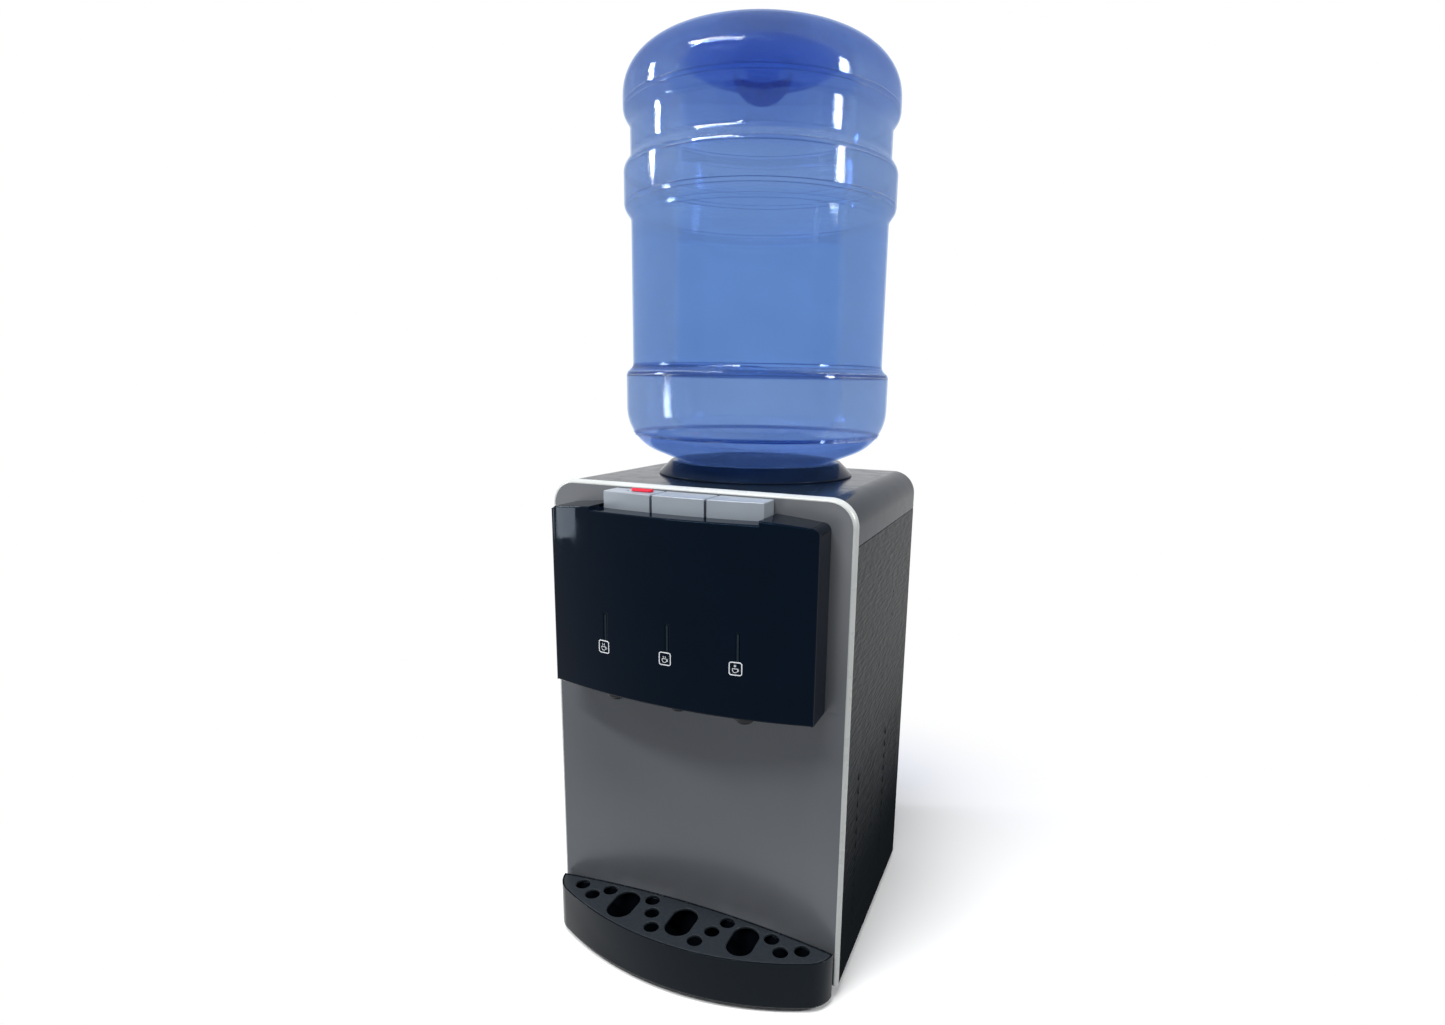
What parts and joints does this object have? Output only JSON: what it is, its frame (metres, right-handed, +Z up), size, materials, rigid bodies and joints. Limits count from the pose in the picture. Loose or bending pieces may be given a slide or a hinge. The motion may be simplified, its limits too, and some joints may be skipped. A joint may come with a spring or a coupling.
{
  "type": "countertop water dispenser",
  "caption": "Countertop water dispenser with an inverted bottle, push buttons over hot, room-temperature and cold taps, a child lock and a lift-out drip tray.",
  "frame": {"origin": "middle of the footprint, on the surface the feet stand on", "axes": "+Z up, front towards -Y, +X to the right of someone facing the front"},
  "size_m": [0.31, 0.3454, 0.8923],
  "materials": {
    "fascia": "satin silver moulding",
    "cover": "satin black moulding",
    "panel": "fine-textured black powder coat",
    "rear_panel": "galvanised steel, grey coat",
    "hood": "glossy black moulding",
    "button": "satin silver moulding",
    "child_lock": "red moulding",
    "tap": "black acetal",
    "inner_plastic": "natural white moulding",
    "silicone": "translucent silicone",
    "steel": "stainless steel",
    "lens": "clear lens",
    "board": "green circuit board",
    "tray": "satin black moulding",
    "grille": "matt dark grey",
    "rubber": "black rubber",
    "foam": "rigid foam",
    "copper": "soft copper tube",
    "black_metal": "satin black paint",
    "bottle": "clear blue polycarbonate",
    "cap": "soft white moulding",
    "heater": "dull metal band",
    "red_rocker": "red moulding",
    "green_rocker": "green moulding"
  },
  "bodies": {
    "cabinet": {"front_fascia": "fascia", "top_cover": "cover", "left_side_panel": "panel", "right_side_panel": "panel", "back_panel": "rear_panel", "base_pan": "rear_panel", "feet": "rubber", "dispensing_hood": "hood", "linkage_guide": "tap", "hot_tap_body": "tap", "ambient_tap_body": "tap", "cold_tap_body": "tap", "hot_valve_spring": "steel", "ambient_valve_spring": "steel", "cold_valve_spring": "steel", "lever_pins": "steel", "tap_nuts": "inner_plastic", "lamp_board": "board", "lamp_lenses": "lens", "bottle_seat": "cover", "feed_probe": "inner_plastic", "tank_seal": "silicone", "cold_tank": "steel", "tank_foam": "foam", "evaporator_coil": "copper", "water_baffle": "inner_plastic", "tank_shelf": "steel", "hot_tank": "steel", "band_heater": "heater", "hot_thermostats": "tap", "hot_tank_bracket": "steel", "compressor": "black_metal", "compressor_mounts": "rubber", "condenser_coil": "black_metal", "condenser_wires": "black_metal", "condenser_brackets": "black_metal", "refrigerant_tubes": "copper", "water_hoses": "silicone", "drain_spout": "tap", "cord_gland": "tap", "switch_housings": "tap", "cabinet_screws": "steel"},
    "hot_button": {"hot_button": "button"},
    "ambient_button": {"ambient_button": "button"},
    "cold_button": {"cold_button": "button"},
    "child_lock": {"child_lock": "child_lock"},
    "drip_tray": {"drip_tray": "tray"},
    "drip_grille": {"drip_grille": "grille"},
    "bottle": {"bottle": "bottle", "bottle_cap": "cap"},
    "heat_rocker": {"heat_rocker": "red_rocker"},
    "cool_rocker": {"cool_rocker": "green_rocker"},
    "drain_cap": {"drain_cap": "tap"},
    "hot_lever": {"hot_tap_lever": "inner_plastic"},
    "hot_stem": {"hot_valve_stem": "inner_plastic"},
    "ambient_lever": {"ambient_tap_lever": "inner_plastic"},
    "ambient_stem": {"ambient_valve_stem": "inner_plastic"},
    "cold_lever": {"cold_tap_lever": "inner_plastic"},
    "cold_stem": {"cold_valve_stem": "inner_plastic"}
  },
  "joints": [
    {"name": "hot_press", "type": "slide", "parent": "cabinet", "child": "hot_button", "axis": [0, 0, -1], "range_m": [0, 0.004], "stiffness_N_per_m": 600, "springref_m": -0.004},
    {"name": "hot_lever_turn", "type": "hinge", "parent": "cabinet", "child": "hot_lever", "pos_m": [-0.0665, -0.13175, 0.328], "axis": [-1, 0, 0], "range_deg": [0, 22.95]},
    {"name": "hot_stem_lift", "type": "slide", "parent": "cabinet", "child": "hot_stem", "axis": [0, 0, 1], "range_m": [0, 0.00402], "deforming": ["hot_valve_spring"]},
    {"name": "ambient_press", "type": "slide", "parent": "cabinet", "child": "ambient_button", "axis": [0, 0, -1], "range_m": [0, 0.004], "stiffness_N_per_m": 600, "springref_m": -0.004},
    {"name": "ambient_lever_turn", "type": "hinge", "parent": "cabinet", "child": "ambient_lever", "pos_m": [0, -0.13175, 0.328], "axis": [-1, 0, 0], "range_deg": [0, 22.95]},
    {"name": "ambient_stem_lift", "type": "slide", "parent": "cabinet", "child": "ambient_stem", "axis": [0, 0, 1], "range_m": [0, 0.00402], "deforming": ["ambient_valve_spring"]},
    {"name": "cold_press", "type": "slide", "parent": "cabinet", "child": "cold_button", "axis": [0, 0, -1], "range_m": [0, 0.004], "stiffness_N_per_m": 600, "springref_m": -0.004},
    {"name": "cold_lever_turn", "type": "hinge", "parent": "cabinet", "child": "cold_lever", "pos_m": [0.0665, -0.13175, 0.328], "axis": [-1, 0, 0], "range_deg": [0, 22.95]},
    {"name": "cold_stem_lift", "type": "slide", "parent": "cabinet", "child": "cold_stem", "axis": [0, 0, 1], "range_m": [0, 0.00402], "deforming": ["cold_valve_spring"]},
    {"name": "child_lock_slide", "type": "slide", "parent": "hot_button", "child": "child_lock", "axis": [-1, 0, 0], "range_m": [0, 0.006]},
    {"name": "tray_pull", "type": "slide", "parent": "cabinet", "child": "drip_tray", "axis": [0, -1, 0], "range_m": [0, 0.09]},
    {"name": "grille_lift", "type": "slide", "parent": "drip_tray", "child": "drip_grille", "axis": [0, 0, 1], "range_m": [0, 0.08]},
    {"name": "bottle_lift", "type": "slide", "parent": "cabinet", "child": "bottle", "axis": [0, 0, 1], "range_m": [0, 0.16]},
    {"name": "heat_switch", "type": "hinge", "parent": "cabinet", "child": "heat_rocker", "pos_m": [0.07, 0.13425, 0.076], "axis": [1, 0, 0], "range_deg": [0, 24]},
    {"name": "cool_switch", "type": "hinge", "parent": "cabinet", "child": "cool_rocker", "pos_m": [0.106, 0.13425, 0.076], "axis": [1, 0, 0], "range_deg": [0, 24]},
    {"name": "drain_cap_pull", "type": "slide", "parent": "cabinet", "child": "drain_cap", "axis": [0, 1, 0], "range_m": [0, 0.03]}
  ],
  "couplings": [
    {"joint": "hot_lever_turn", "follows": "hot_press", "rad_per_m": 100},
    {"joint": "hot_stem_lift", "follows": "hot_press", "ratio": 1},
    {"joint": "ambient_lever_turn", "follows": "ambient_press", "rad_per_m": 100},
    {"joint": "ambient_stem_lift", "follows": "ambient_press", "ratio": 1},
    {"joint": "cold_lever_turn", "follows": "cold_press", "rad_per_m": 100},
    {"joint": "cold_stem_lift", "follows": "cold_press", "ratio": 1}
  ]
}
